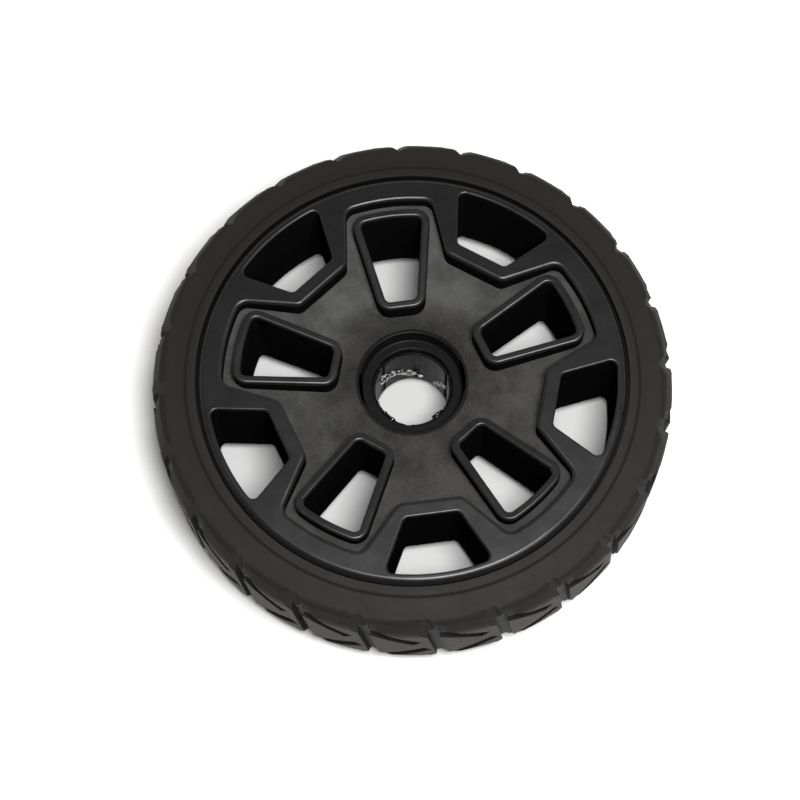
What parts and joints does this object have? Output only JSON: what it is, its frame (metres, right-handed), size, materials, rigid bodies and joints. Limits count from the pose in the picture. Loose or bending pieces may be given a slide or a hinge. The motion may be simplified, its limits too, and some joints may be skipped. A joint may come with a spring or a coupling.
{
  "type": "wheel",
  "caption": "Moulded mower wheel: rim with a dished star-shaped pocket and collared windows, slotted hub sleeve and block-tread tyre.",
  "frame": {"origin": "on the axle line, in the plane that the back lip of the tyre lies on", "axes": "+Z along the axle, out of the styled face; +Y through the middle of one window of the pocket"},
  "size_m": [0.23, 0.23, 0.058],
  "materials": {
    "rim_plastic": "satin moulded black plastic",
    "sleeve_plastic": "dark plastic with grease on it",
    "tyre_rubber": "matt black rubber"
  },
  "bodies": {
    "root": {"rim": "rim_plastic", "hub_sleeve": "sleeve_plastic", "tyre": "tyre_rubber"}
  },
  "joints": []
}
